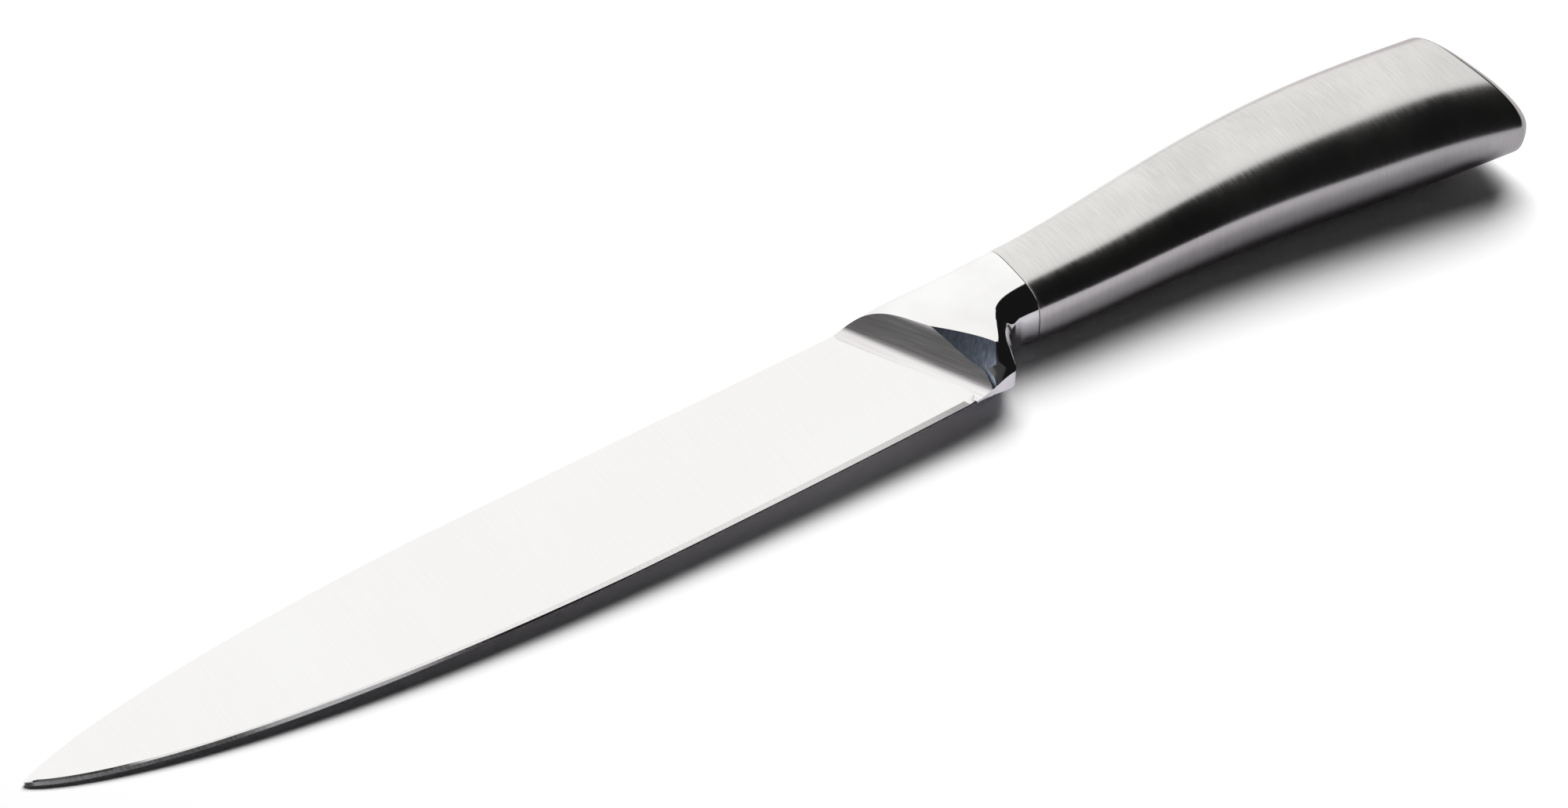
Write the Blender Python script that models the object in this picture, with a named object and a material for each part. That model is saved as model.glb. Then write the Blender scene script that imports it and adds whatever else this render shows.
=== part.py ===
"""Fillet knife: a forged blade with its bolster, and a hollow steel handle welded up from two shells.

The knife is drawn in its own frame: x runs from the tip to the butt, y from the cutting edge up to the
spine, and z out of the left side of the blade. Both sides are alike. An empty then lays the knife on a
table, on its tip and on the belly of its handle, with the middle of its box over the origin.
Every length is in metres, every angle in degrees, and the tip's middle is x = 0, y = 0.
"""
import math

import bmesh
import bpy
import numpy as np
from mathutils import Vector

# Blade outline: two curves leave the tip and flatten into a straight spine and a long, shallow belly
BLADE_LENGTH = 0.1906        # tip to the foot of the ramp, at y = 0
SPINE_HEIGHT = 0.0112        # straight spine above the tip
SPINE_CURVE_RUN = 0.0935     # where the spine becomes straight
SPINE_TIP_PULL = (0.0215, 0.0096)
SPINE_BACK_PULL = 0.0118
BELLY_DEPTH = 0.0189         # deepest point of the cutting edge below the tip
BELLY_RUN = 0.1317           # where the cutting edge is deepest
BELLY_TIP_PULL = 0.0014
BELLY_BACK_PULL = 0.1032
HEEL_RISE = 0.0008           # the edge climbs this much again to the heel
TIP_HEIGHT = 0.0007          # the point is not needle sharp

# Blade thickness: the ground side is one plane, thinner to the edge and to the tip
SPINE_THICKNESS = 0.0021
EDGE_THICKNESS = 0.0006      # just above the sharpened bevel, at the heel
TIP_THICKNESS = 0.0008
CUTTING_THICKNESS = 0.0002   # what is left at the sharpened edge
BEVEL_AT_HEEL = 0.0014       # height of the sharpened bevel
BEVEL_AT_TIP = 0.0016
SPINE_CHAMFER = 0.00025
BLADE_ROOT = 0.0042          # the blade runs on this far inside the bolster
ROOT_CLIMB = 30.0            # behind the heel, the root's lower edge turns up into the guard

# Ramp: the cove that a grinding wheel leaves between the blade and the bolster
RAMP_SLANT = 29.0            # its foot leans forward at the spine
RAMP_RADIUS = 0.010
RAMP_TOP_ANGLE = 76.0
RAMP_BITE = 0.00008          # the wheel cuts this much under the blade's side

# Flank: a larger wheel, rolled along the guard, hollows the bolster's side down to the thin heel
FLANK_RADIUS = 0.050
FLANK_DEEPEST_Y = -0.025     # where that wheel would cut deepest
FLANK_HEEL_HALF = 0.0002     # its distance there from the middle of the knife, level with the heel
FLANK_RISE = 0.34            # it cuts this much less deep for each step towards the butt

# Bolster, guard and finger curve
BOLSTER_LENGTH = 0.0317      # ramp's foot to the seam, at y = 0
GUARD_START = 0.0106         # behind the ramp's foot: the heel of the cutting edge
GUARD_CLIMB = 6.5            # the underside of the guard climbs towards the handle
GUARD_CORNER_RADIUS = 0.0013
FINGER_WALL_ANGLE = 67.0     # back of the guard
FINGER_RADIUS = 0.0055
FINGER_TOP_SETBACK = 0.0040  # from the seam forward to the top of the finger curve

# Body sections: (share of the length, spine height, belly depth, half thickness); the bolster's rows are
# measured forward from the seam, the handle's backward
BOLSTER_ROWS = (
    (1.126, 0.01115, -0.0066, 0.00505),
    (0.767, 0.0119, -0.0070, 0.00575),
    (0.388, 0.0112, -0.0073, 0.0067),
)
FINGER_TOP_ROW = (0.0110, -0.0076, 0.00725)
SEAM_ROW = (0.01085, -0.0080, 0.0076)
HANDLE_ROWS = (
    (0.117, 0.0115, -0.0088, 0.0080),
    (0.347, 0.0141, -0.0096, 0.0091),
    (0.530, 0.0154, -0.0112, 0.01015),
    (0.714, 0.0152, -0.0139, 0.01065),
    (0.898, 0.0136, -0.0168, 0.0103),
    (1.045, 0.0129, -0.01965, 0.00805),
)
BOLSTER_SQUARENESS = 2.5     # exponent of the oval section at the ramp, where 2 is an ellipse
SEAM_SQUARENESS = 3.2
BUTT_SQUARENESS = 2.7

# Hollow handle
HANDLE_LENGTH = 0.1088       # seam to the butt, at y = 0
BUTT_SLANT = 10.5            # the butt leans back at the belly
BUTT_ROUNDING = 0.0026
SHELL_WALL = 0.0012
CAP_LENGTH = 0.0045          # how much of the butt belongs to the cap
CAP_LIP = 0.0030
CAP_WALL = 0.0015
FIT_GAP = 0.0003             # between pieces that are welded or seated on each other

# Inside the handle
SPIGOT_LENGTH = 0.0080       # the step on the bolster that centres the shells
TANG_LENGTH = 0.0300
TANG_HALF_HEIGHT = 0.0042
TANG_HALF_THICKNESS = 0.0018
TANG_ROUNDNESS = 0.3         # 1 is an ellipse, 0 a box
WEIGHT_START = 0.0720        # behind the seam
WEIGHT_LENGTH = 0.0100
WEIGHT_ROUNDING = 0.0010

# Fineness of the curves, and how far a cutter reaches past the metal
RING_POINTS = 40             # around the body
BLADE_STATIONS = 34
STATION_CROWDING = 0.65      # the blade's stations crowd towards the tip: 0 is even, 1 the most
ROOT_STATIONS_POWER = 8      # only the blade's last stations lean with the ramp
SHELL_STATIONS = 24
ARC_STEPS = 18
SMOOTH_ANGLE = 28.0
CUTTER_REACH = 0.040
FLANK_SWEEP = (-10.0, 60.0)  # the part of the flank wheel's rim that is modelled

SEAM_X = BLADE_LENGTH + BOLSTER_LENGTH
BUTT_X = SEAM_X + HANDLE_LENGTH
FINGER_TOP_X = SEAM_X - FINGER_TOP_SETBACK
HEEL_X = BLADE_LENGTH + GUARD_START
HEEL_Y = HEEL_RISE - BELLY_DEPTH


def clear_scene():
    """Remove every object that the file holds."""
    for thing in list(bpy.data.objects):
        bpy.data.objects.remove(thing, do_unlink=True)


def steel(name, colour, roughness):
    """A bare steel with the given colour and roughness."""
    material = bpy.data.materials.new(name)
    material.use_nodes = True
    shader = material.node_tree.nodes["Principled BSDF"]
    shader.inputs["Base Color"].default_value = (*colour, 1.0)
    shader.inputs["Metallic"].default_value = 1.0
    shader.inputs["Roughness"].default_value = roughness
    return material


def spline_through(points):
    """Return the natural cubic spline through (x, value) points."""
    xs, values = (np.array(column) for column in zip(*points))
    steps = np.diff(xs)
    slopes = np.diff(values) / steps
    system = np.eye(len(xs))
    turns = np.zeros(len(xs))
    for i in range(1, len(xs) - 1):
        system[i, i - 1:i + 2] = steps[i - 1], 2 * (steps[i - 1] + steps[i]), steps[i]
        turns[i] = 6 * (slopes[i] - slopes[i - 1])
    bends = np.linalg.solve(system, turns)

    def value_at(x):
        i = int(np.clip(np.searchsorted(xs, x) - 1, 0, len(steps) - 1))
        past, left, step = x - xs[i], xs[i + 1] - x, steps[i]
        cubic = (bends[i] * left ** 3 + bends[i + 1] * past ** 3) / (6 * step)
        near = (values[i] / step - bends[i] * step / 6) * left
        far = (values[i + 1] / step - bends[i + 1] * step / 6) * past
        return cubic + near + far

    return value_at


def bezier(start, pull_out, pull_in, end, t):
    """A point on a cubic Bezier curve."""
    s = 1 - t
    weights = (s ** 3, 3 * s * s * t, 3 * s * t * t, t ** 3)
    return tuple(sum(w * p[i] for w, p in zip(weights, (start, pull_out, pull_in, end))) for i in (0, 1))


def outline_height(curve, x):
    """Height of a curve that runs towards +x, at the given x."""
    low, high = 0.0, 1.0
    for _ in range(40):
        middle = (low + high) / 2
        if curve(middle)[0] < x:
            low = middle
        else:
            high = middle
    return curve(low)[1]


def spine_height(x):
    """The blade's spine above the tip."""
    if x >= SPINE_CURVE_RUN:
        return SPINE_HEIGHT
    ends = (0, TIP_HEIGHT / 2), (SPINE_CURVE_RUN, SPINE_HEIGHT)
    pulls = SPINE_TIP_PULL, (SPINE_CURVE_RUN - SPINE_BACK_PULL, SPINE_HEIGHT)
    return outline_height(lambda t: bezier(ends[0], *pulls, ends[1], t), x)


def edge_height(x):
    """The cutting edge, below the tip, and the lower edge of the root behind the heel."""
    if x >= HEEL_X:
        return HEEL_Y + (x - HEEL_X) * math.tan(math.radians(ROOT_CLIMB))
    if x >= BELLY_RUN:
        return -BELLY_DEPTH + HEEL_RISE * ((x - BELLY_RUN) / (HEEL_X - BELLY_RUN)) ** 2
    ends = (0, -TIP_HEIGHT / 2), (BELLY_RUN, -BELLY_DEPTH)
    pulls = (0, -TIP_HEIGHT / 2 - BELLY_TIP_PULL), (BELLY_RUN - BELLY_BACK_PULL, -BELLY_DEPTH)
    return outline_height(lambda t: bezier(ends[0], *pulls, ends[1], t), x)


def side_of_blade(x, y):
    """Half thickness of the blade: one plane, through the tip and through spine and edge at the heel."""
    rise = (SPINE_THICKNESS - EDGE_THICKNESS) / 2 / (SPINE_HEIGHT - HEEL_Y)
    at_foot = SPINE_THICKNESS / 2 - rise * SPINE_HEIGHT
    taper = (at_foot - TIP_THICKNESS / 2) / BLADE_LENGTH
    return at_foot + rise * y - taper * (BLADE_LENGTH - x)


def ramp_point(behind_foot, along):
    """Plan position of a point behind the ramp's foot line and along it towards the edge."""
    slant = math.radians(RAMP_SLANT)
    x = BLADE_LENGTH + behind_foot * math.cos(slant) + along * math.sin(slant)
    return x, behind_foot * math.sin(slant) - along * math.cos(slant)


def body_rows():
    """The section rows of bolster and handle, as (x, spine height, belly depth, half thickness)."""
    rows = [(SEAM_X - share * BOLSTER_LENGTH, *row) for share, *row in BOLSTER_ROWS]
    rows += [(FINGER_TOP_X, *FINGER_TOP_ROW), (SEAM_X, *SEAM_ROW)]
    rows += [(SEAM_X + share * HANDLE_LENGTH, *row) for share, *row in HANDLE_ROWS]
    return rows


BODY_SPINE = spline_through([(x, spine) for x, spine, _, _ in body_rows()])
BODY_BELLY = spline_through([(x, belly) for x, _, belly, _ in body_rows()])
BODY_HALF_THICKNESS = spline_through([(x, half) for x, _, _, half in body_rows()])


def squareness(x):
    """Exponent of the body's oval section, fullest at the seam."""
    return float(np.interp(x, (BLADE_LENGTH, SEAM_X, BUTT_X),
                           (BOLSTER_SQUARENESS, SEAM_SQUARENESS, BUTT_SQUARENESS)))


def raised(value, power):
    """A sine or cosine raised to a power with its sign kept, which turns a circle into a fuller oval."""
    return math.copysign(abs(value) ** power, value)


def body_point(x, bottom, angle, inset):
    """(y, z) on the oval section at x, with its lower half drawn down to the given bottom."""
    spine, belly = BODY_SPINE(x), BODY_BELLY(x)
    widest = (spine + belly) / 2
    power = 2 / squareness(x)
    up, out = math.cos(angle), math.sin(angle)
    reach = (spine - widest if up > 0 else widest - bottom) - inset
    return widest + reach * raised(up, power), (BODY_HALF_THICKNESS(x) - inset) * raised(out, power)


def body_ring(station, inset=0.0, lean=0.0, bottom=None, angles=None):
    """One section of the body; a lean shifts the points below y = 0 towards the butt."""
    if angles is None:
        angles = [2 * math.pi * i / RING_POINTS for i in range(RING_POINTS)]
    ring = []
    for angle in angles:
        x, y, z = station, 0.0, 0.0
        for _ in range(8):
            y, z = body_point(x, BODY_BELLY(x) if bottom is None else bottom, angle, inset)
            x = station - lean * y
        ring.append(Vector((x, y, z)))
    return ring


def guard_outline():
    """Underside of the guard and its finger curve, as (x, y) from the heel to the top of the curve."""
    climb, wall = math.radians(GUARD_CLIMB), math.radians(FINGER_WALL_ANGLE)
    heel = Vector((HEEL_X, HEEL_Y + RAMP_BITE))
    top = Vector((FINGER_TOP_X, FINGER_TOP_ROW[1]))
    centre = top - Vector((0, FINGER_RADIUS))
    arc_end = centre + FINGER_RADIUS * Vector((-math.sin(wall), math.cos(wall)))
    along_heel = Vector((math.cos(climb), math.sin(climb)))
    along_wall = Vector((math.cos(wall), math.sin(wall)))
    # the two straight runs meet at the corner, which a small arc then rounds
    offset = arc_end - heel
    run = (offset.x * along_wall.y - offset.y * along_wall.x) / (
        along_heel.x * along_wall.y - along_heel.y * along_wall.x)
    corner = heel + along_heel * run
    trim = GUARD_CORNER_RADIUS * math.tan((wall - climb) / 2)
    corner_centre = corner - along_heel * trim + GUARD_CORNER_RADIUS * Vector((-along_heel.y, along_heel.x))
    points = [heel + along_heel * (run - trim) * i / 3 for i in range(3)]
    for i in range(6):
        turn = climb + (wall - climb) * i / 5
        points.append(corner_centre + GUARD_CORNER_RADIUS * Vector((math.sin(turn), -math.cos(turn))))
    wall_start = points[-1]
    points += [wall_start.lerp(arc_end, i / 4) for i in range(1, 4)]
    for i in range(9):
        turn = wall * (1 - i / 8)
        points.append(centre + FINGER_RADIUS * Vector((-math.sin(turn), math.cos(turn))))
    return points


def loft(name, rings):
    """A closed body through a row of rings of equal count, skinned one to the next and capped."""
    bm = bmesh.new()
    loops = [[bm.verts.new(point) for point in ring] for ring in rings]
    for first, second in zip(loops, loops[1:]):
        for i in range(len(first)):
            bm.faces.new((first[i - 1], first[i], second[i], second[i - 1]))
    for cap in (loops[0], loops[-1]):
        bm.faces.new(cap)
    bmesh.ops.recalc_face_normals(bm, faces=bm.faces)
    if bm.calc_volume(signed=True) < 0:
        bmesh.ops.reverse_faces(bm, faces=bm.faces)
    mesh = bpy.data.meshes.new(name)
    bm.to_mesh(mesh)
    bm.free()
    thing = bpy.data.objects.new(name, mesh)
    bpy.context.collection.objects.link(thing)
    return thing


def finish(thing, material):
    """Give a piece its material and shade its round faces smooth."""
    thing.data.materials.clear()
    thing.data.materials.append(material)
    thing.data.shade_smooth()
    thing.data.set_sharp_from_angle(angle=math.radians(SMOOTH_ANGLE))
    return thing


def combine(thing, other, operation):
    """Join a second solid to the first, or cut it away, and drop the second."""
    modifier = thing.modifiers.new(operation.title(), "BOOLEAN")
    modifier.operation = operation
    modifier.object = other
    bpy.context.view_layer.update()
    result = bpy.data.meshes.new_from_object(thing.evaluated_get(bpy.context.evaluated_depsgraph_get()))
    thing.modifiers.clear()
    thing.data = result
    bpy.data.objects.remove(other, do_unlink=True)


def make_blade_blank():
    """The thin blade: eight-cornered sections with the sharpened bevel below and chamfers above."""
    rings = []
    for i in range(BLADE_STATIONS + 1):
        share = i / BLADE_STATIONS
        at_root = share ** ROOT_STATIONS_POWER
        lean = math.tan(math.radians(RAMP_SLANT)) * at_root
        station = BLADE_LENGTH * share * (1 - STATION_CROWDING * (1 - share)) + BLADE_ROOT * at_root
        spine = edge = 0.0
        for _ in range(8):
            spine, edge = spine_height(station - lean * spine), edge_height(station - lean * edge)
        bevel = min(BEVEL_AT_TIP + (BEVEL_AT_HEEL - BEVEL_AT_TIP) * share, 0.4 * (spine - edge))
        chamfer = min(SPINE_CHAMFER, 0.2 * (spine - edge))
        upper, lower = [], []
        for y, shave, cutting in (
                (edge, 0, True), (edge + bevel, 0, False), (spine - chamfer, 0, False), (spine, chamfer, False)):
            x = station - lean * y
            half = CUTTING_THICKNESS / 2 if cutting else side_of_blade(x, y) - shave
            upper.append(Vector((x, y, half)))
            lower.insert(0, Vector((x, y, -half)))
        rings.append(upper + lower)
    return loft("blade", rings)


def make_bolster_blank():
    """Bolster, guard, the spigot that centres the handle and the stub tang, before grinding."""
    outline = guard_outline()
    heel = outline[0]
    first_x = body_rows()[0][0]
    rings = [body_ring(first_x + (heel.x - first_x) * i / 7, bottom=heel.y) for i in range(7)]
    rings += [body_ring(point.x, bottom=point.y) for point in outline]
    rings += [body_ring(FINGER_TOP_X + (SEAM_X - FINGER_TOP_X) * i / 3) for i in range(1, 4)]
    inset = SHELL_WALL + FIT_GAP
    spigot_end = SEAM_X + SPIGOT_LENGTH
    rings += [body_ring(SEAM_X, inset), body_ring(spigot_end, inset)]
    middle = (BODY_SPINE(spigot_end) + BODY_BELLY(spigot_end)) / 2
    turns = [2 * math.pi * i / RING_POINTS for i in range(RING_POINTS)]
    for x in (spigot_end, spigot_end + TANG_LENGTH):
        rings.append([Vector((x, middle + TANG_HALF_HEIGHT * raised(math.cos(turn), TANG_ROUNDNESS),
                              TANG_HALF_THICKNESS * raised(math.sin(turn), TANG_ROUNDNESS)))
                      for turn in turns])
    return loft("bolster_blank", rings)


def make_front_cutter():
    """Everything ahead of the ramp's foot line, where the blade takes over."""
    rings = []
    for along in (-CUTTER_REACH, CUTTER_REACH):
        far, near = ramp_point(-CUTTER_REACH, along), ramp_point(0.0, along)
        rings.append([Vector((*far, -CUTTER_REACH)), Vector((*near, -CUTTER_REACH)),
                      Vector((*near, CUTTER_REACH)), Vector((*far, CUTTER_REACH))])
    return loft("front_cutter", rings)


def make_ramp_wheel(side):
    """The cove that the grinding wheel removes on one side."""
    start = math.sqrt(2 * RAMP_RADIUS * RAMP_BITE) / 2
    profile = [(-CUTTER_REACH, CUTTER_REACH), (-CUTTER_REACH, -RAMP_BITE), (start, -RAMP_BITE)]
    for i in range(ARC_STEPS + 1):
        turn = math.radians(RAMP_TOP_ANGLE) * i / ARC_STEPS
        if RAMP_RADIUS * math.sin(turn) > start:
            profile.append((RAMP_RADIUS * math.sin(turn), RAMP_RADIUS * (1 - math.cos(turn))))
    slope = math.tan(math.radians(90 - RAMP_TOP_ANGLE))
    profile.append((profile[-1][0] + slope * (CUTTER_REACH - profile[-1][1]), CUTTER_REACH))
    rings = []
    for along in (-CUTTER_REACH, CUTTER_REACH):
        ring = []
        for behind, height in profile:
            x, y = ramp_point(behind, along)
            ring.append(Vector((x, y, side * (side_of_blade(x, y) - RAMP_BITE + height))))
        rings.append(ring)
    return loft("ramp_wheel", rings)


def make_flank_wheel(side):
    """What the larger wheel removes behind the ramp on one side."""
    rings = []
    for x in (HEEL_X - CUTTER_REACH, HEEL_X + CUTTER_REACH):
        lowest = FLANK_HEEL_HALF + FLANK_RISE * (x - HEEL_X)
        ring = []
        for i in range(ARC_STEPS + 1):
            turn = math.radians(FLANK_SWEEP[0] + (FLANK_SWEEP[1] - FLANK_SWEEP[0]) * i / ARC_STEPS)
            height = FLANK_RADIUS * (1 - math.cos(turn))
            ring.append(Vector((x, FLANK_DEEPEST_Y + FLANK_RADIUS * math.sin(turn), side * (lowest + height))))
        top = side * (lowest + CUTTER_REACH)
        ring += [Vector((x, ring[-1].y, top)), Vector((x, ring[0].y, top))]
        rings.append(ring)
    return loft("flank_wheel", rings)


def make_forging(material):
    """Blade, bolster and stub tang in one piece, as forged and ground."""
    bolster = make_bolster_blank()
    combine(bolster, make_front_cutter(), "DIFFERENCE")
    for side in (1, -1):
        combine(bolster, make_ramp_wheel(side), "DIFFERENCE")
        combine(bolster, make_flank_wheel(side), "DIFFERENCE")
    blade = make_blade_blank()
    combine(blade, bolster, "UNION")
    return finish(blade, material)


def handle_lean(station):
    """Sections stand square at the seam and lean more and more until the butt."""
    share = min(1.0, max(0.0, (station - SEAM_X) / (BUTT_X - SEAM_X)))
    return math.tan(math.radians(BUTT_SLANT)) * share ** 3


def half_ring(station, inset, side):
    """Half of a section on one side of the weld line, from the spine round to the belly."""
    angles = [2 * math.pi * i / RING_POINTS for i in range(RING_POINTS // 2 + 1)]
    ring = body_ring(station, inset, handle_lean(station), angles=angles)
    for point in ring:
        point.z = side * max(point.z, FIT_GAP / 2)
    return ring


def make_shell(name, side, material):
    """One pressed half of the hollow handle."""
    start, end = SEAM_X + FIT_GAP, BUTT_X - CAP_LENGTH
    rings = []
    for i in range(SHELL_STATIONS + 1):
        station = start + (end - start) * i / SHELL_STATIONS
        rings.append(half_ring(station, 0.0, side) + half_ring(station, SHELL_WALL, side)[::-1])
    return finish(loft(name, rings), material)


def make_cap(material):
    """The butt cap: a dished end with rounded rims and a lip that enters the shells."""
    joint = BUTT_X - CAP_LENGTH + FIT_GAP
    lip_front = joint - CAP_LIP
    outer_lip = SHELL_WALL + FIT_GAP
    inner_lip = outer_lip + CAP_WALL
    steps = [(BUTT_X - CAP_WALL, inner_lip), (lip_front, inner_lip), (lip_front, outer_lip), (joint, outer_lip),
             (joint, 0.0)]
    for i in range(7):
        turn = math.pi / 2 * i / 6
        steps.append((BUTT_X - BUTT_ROUNDING * (1 - math.sin(turn)), BUTT_ROUNDING * (1 - math.cos(turn))))
    rings = [body_ring(station, inset, handle_lean(station)) for station, inset in steps]
    return finish(loft("butt_cap", rings), material)


def make_weight(material):
    """The slug that balances the blade, seated in both shells."""
    inset = SHELL_WALL + FIT_GAP
    start = SEAM_X + WEIGHT_START
    end = start + WEIGHT_LENGTH
    steps = [(start, inset + WEIGHT_ROUNDING), (start + WEIGHT_ROUNDING, inset), ((start + end) / 2, inset),
             (end - WEIGHT_ROUNDING, inset), (end, inset + WEIGHT_ROUNDING)]
    rings = [body_ring(station, depth, handle_lean(station)) for station, depth in steps]
    return finish(loft("balance_weight", rings), material)


def centre_of_mass(pieces):
    """Where the knife balances: all of it is steel."""
    total, moment = 0.0, np.zeros(3)
    for piece in pieces:
        piece.data.calc_loop_triangles()
        points = np.array([vertex.co for vertex in piece.data.vertices])
        corners = points[[triangle.vertices[:] for triangle in piece.data.loop_triangles]]
        volumes = np.einsum("ij,ij->i", corners[:, 0], np.cross(corners[:, 1], corners[:, 2])) / 6
        total += volumes.sum()
        moment += corners.sum(axis=1).T @ volumes / 4
    return Vector(moment / total)


def resting_face(pieces):
    """Outward normal of the hull's triangle that the knife rests on: the lower one that its weight falls in."""
    weight = centre_of_mass(pieces)
    hull = bmesh.new()
    for piece in pieces:
        for vertex in piece.data.vertices:
            hull.verts.new(vertex.co)
    bmesh.ops.convex_hull(hull, input=hull.verts)
    hull.normal_update()
    best, best_margin = Vector((0, 0, -1)), -1.0
    for face in hull.faces:
        if face.normal.z > -0.5:
            continue
        foot = weight + face.normal * (face.verts[0].co - weight).dot(face.normal)
        corners = [vertex.co for vertex in face.verts]
        ends = zip(corners, corners[1:] + corners[:1])
        margin = min((end - start).normalized().cross(foot - start).dot(face.normal) for start, end in ends)
        if margin > best_margin:
            best, best_margin = face.normal.copy(), margin
    hull.free()
    return best


def lay_down(pieces):
    """Parent the pieces to an empty that turns the knife onto its tip and the side of its handle."""
    turn = resting_face(pieces).rotation_difference(Vector((0, 0, -1)))
    points = np.array([turn @ vertex.co for piece in pieces for vertex in piece.data.vertices])
    low, high = points.min(axis=0), points.max(axis=0)
    rest = bpy.data.objects.new("lying_on_the_table", None)
    bpy.context.collection.objects.link(rest)
    rest.rotation_mode = "QUATERNION"
    rest.rotation_quaternion = turn
    rest.location = (-(low[0] + high[0]) / 2, -(low[1] + high[1]) / 2, -low[2])
    for piece in pieces:
        piece.parent = rest


def main():
    clear_scene()
    forging_steel = steel("ground_steel", (0.78, 0.77, 0.75), 0.12)
    handle_steel = steel("brushed_steel", (0.70, 0.69, 0.67), 0.28)
    weight_steel = steel("plain_steel", (0.35, 0.34, 0.33), 0.6)
    pieces = [
        make_forging(forging_steel),
        make_shell("handle_shell_left", 1, handle_steel),
        make_shell("handle_shell_right", -1, handle_steel.copy()),
        make_cap(handle_steel.copy()),
        make_weight(weight_steel),
    ]
    lay_down(pieces)
    bpy.context.view_layer.update()


main()
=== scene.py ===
# %% [markdown]
# # A fillet knife in bare steel
#
# The knife is all metal: a thin ground blade, a forged bolster with a full guard, and a hollow handle that
# is brushed across its length. Nearly everything that the eye sees on such an object is a reflection, so
# this lesson spends its effort on two things: surfaces that are smooth enough to mirror a studio, and a
# studio that is worth mirroring.
#
# The measured model of the knife is loaded first. It stays where it is, and every finer piece is built
# around the same numbers.

import math

import bmesh
import bpy
import numpy as np
from mathutils import Matrix, Vector


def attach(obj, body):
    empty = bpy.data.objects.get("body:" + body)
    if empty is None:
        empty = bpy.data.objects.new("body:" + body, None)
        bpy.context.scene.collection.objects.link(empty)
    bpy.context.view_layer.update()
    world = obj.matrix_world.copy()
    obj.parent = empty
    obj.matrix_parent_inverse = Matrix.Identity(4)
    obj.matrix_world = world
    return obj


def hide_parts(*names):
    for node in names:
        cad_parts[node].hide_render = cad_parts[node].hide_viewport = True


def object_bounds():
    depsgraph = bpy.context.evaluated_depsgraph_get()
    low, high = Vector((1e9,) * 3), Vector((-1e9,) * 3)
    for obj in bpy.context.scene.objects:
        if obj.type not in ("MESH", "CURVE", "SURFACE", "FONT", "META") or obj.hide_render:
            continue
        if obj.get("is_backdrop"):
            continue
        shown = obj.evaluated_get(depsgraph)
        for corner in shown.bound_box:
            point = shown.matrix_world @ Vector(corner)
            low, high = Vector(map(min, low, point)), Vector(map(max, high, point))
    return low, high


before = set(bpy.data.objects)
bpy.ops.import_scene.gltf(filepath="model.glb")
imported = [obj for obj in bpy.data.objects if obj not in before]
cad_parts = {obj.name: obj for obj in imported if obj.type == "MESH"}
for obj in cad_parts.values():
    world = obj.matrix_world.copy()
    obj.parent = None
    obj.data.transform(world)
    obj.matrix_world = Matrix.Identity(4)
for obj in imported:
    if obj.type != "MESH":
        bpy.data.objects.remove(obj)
model_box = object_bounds()
print("pieces of the measured model:", sorted(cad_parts))

# %% [markdown]
# ## The knife's own frame
#
# A knife is easiest to draw lying flat: x runs from the tip to the butt, y from the cutting edge up to the
# spine, and z out of the left side of the blade. On the table it leans a little, because it rests on its
# tip and on the thick end of its handle. So every piece is drawn in the flat frame, and one matrix lays
# its mesh on the table at the end.

# %% The lean on the table
TABLE_SIDE = Vector((-0.034655, -0.022833, -0.999138))    # the direction in the flat frame that ends up below
TIP_PLACE = Vector((-0.1670253, 0.0018085, 0.0004002))    # where the flat frame's origin, the tip, ends up
LEAN = TABLE_SIDE.rotation_difference(Vector((0, 0, -1))).to_matrix().to_4x4()
LAID_DOWN = Matrix.Translation(TIP_PLACE) @ LEAN
print(f"the knife leans {math.degrees(math.asin(-TABLE_SIDE.x)):.2f} degrees to its tip",
      f"and {math.degrees(math.asin(-TABLE_SIDE.y)):.2f} degrees to its edge")

# %% Main places along the knife, in metres
BLADE_LENGTH = 0.1906       # from the tip to the foot of the ramp
BOLSTER_LENGTH = 0.0317     # from there to the seam
HANDLE_LENGTH = 0.1088
SEAM_X = BLADE_LENGTH + BOLSTER_LENGTH
BUTT_X = SEAM_X + HANDLE_LENGTH
FINGER_TOP_X, FINGER_TOP_Y = SEAM_X - 0.0040, -0.0076     # where the finger curve meets the handle's belly
print(f"ramp at {1000 * BLADE_LENGTH:.1f} mm, seam at {1000 * SEAM_X:.1f} mm, butt at {1000 * BUTT_X:.1f} mm")

# %% [markdown]
# ## Curves through the sections
#
# A handle is fair when its spine line, its belly line and its thickness each run in one sweep. A natural
# cubic spline through a few measured sections does that: it has no kinks, and no more waves than the
# sections ask for. Between spine and belly the section itself is a superellipse, an oval whose exponent
# says how full its shoulders are.

# %% Measured sections of the bolster and the handle
# each is its x, the height of the spine, the height of the belly, and half the thickness
SECTIONS = (
    (SEAM_X - 1.126 * BOLSTER_LENGTH, 0.01115, -0.0066, 0.00505),
    (SEAM_X - 0.767 * BOLSTER_LENGTH, 0.0119, -0.0070, 0.00575),
    (SEAM_X - 0.388 * BOLSTER_LENGTH, 0.0112, -0.0073, 0.0067),
    (FINGER_TOP_X, 0.0110, FINGER_TOP_Y, 0.00725),
    (SEAM_X, 0.01085, -0.0080, 0.0076),
    (SEAM_X + 0.117 * HANDLE_LENGTH, 0.0115, -0.0088, 0.0080),
    (SEAM_X + 0.347 * HANDLE_LENGTH, 0.0141, -0.0096, 0.0091),
    (SEAM_X + 0.530 * HANDLE_LENGTH, 0.0154, -0.0112, 0.01015),
    (SEAM_X + 0.714 * HANDLE_LENGTH, 0.0152, -0.0139, 0.01065),
    (SEAM_X + 0.898 * HANDLE_LENGTH, 0.0136, -0.0168, 0.0103),
    (SEAM_X + 1.045 * HANDLE_LENGTH, 0.0129, -0.01965, 0.00805),
)
print(f"{len(SECTIONS)} sections from {1000 * SECTIONS[0][0]:.1f} to {1000 * SECTIONS[-1][0]:.1f} mm")


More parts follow.
